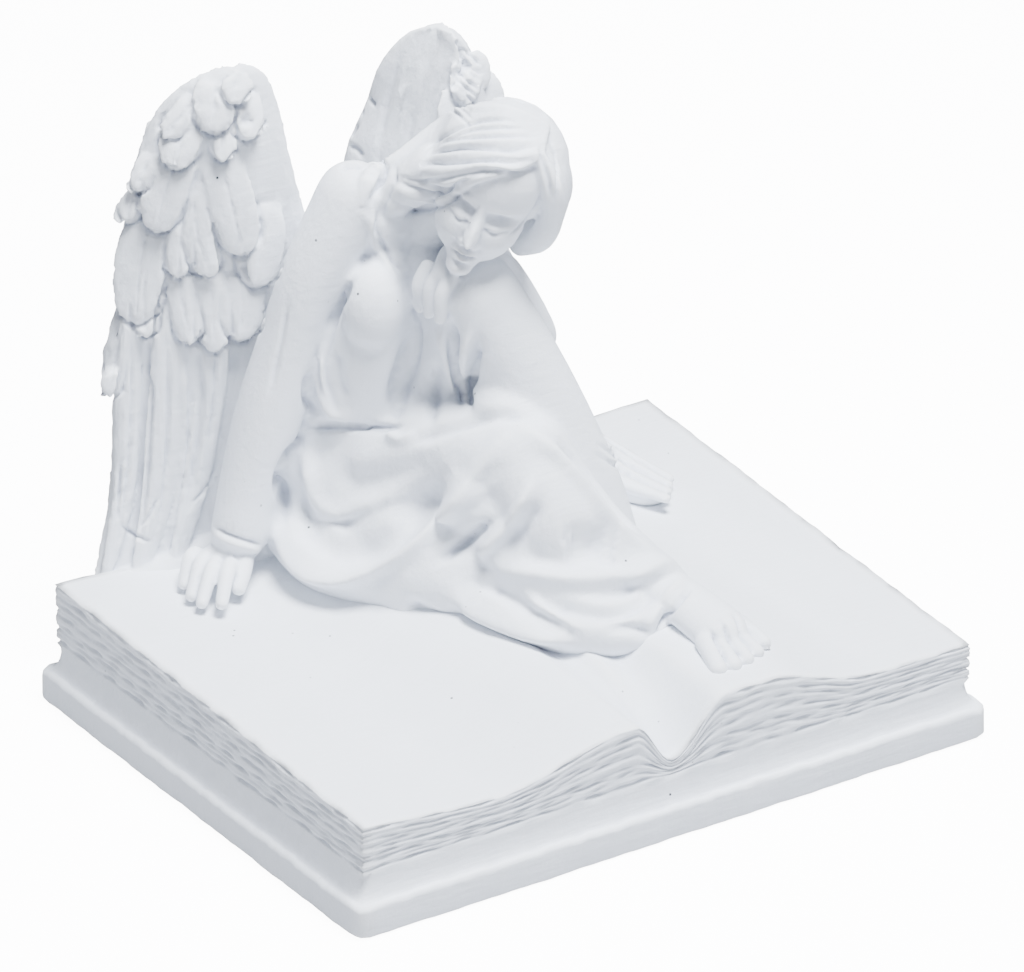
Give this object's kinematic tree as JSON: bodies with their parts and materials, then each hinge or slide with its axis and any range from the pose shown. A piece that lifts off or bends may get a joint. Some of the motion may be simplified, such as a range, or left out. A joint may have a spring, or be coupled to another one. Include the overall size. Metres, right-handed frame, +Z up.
{
  "type": "memorial angel statue",
  "caption": "White cast memorial angel seated on an open book, leaning on a straight arm with her bowed head resting at a raised knee, wings folded back.",
  "frame": {"origin": "centre of the flat underside of the book's cover", "axes": "+X along the book's width towards its right page, +Y from the book's front edge to its back, +Z up"},
  "size_m": [0.21, 0.1761, 0.1843],
  "materials": {
    "white_painted_stone": "matte"
  },
  "bodies": {
    "root": {"angel_on_book": "white_painted_stone"}
  },
  "joints": []
}
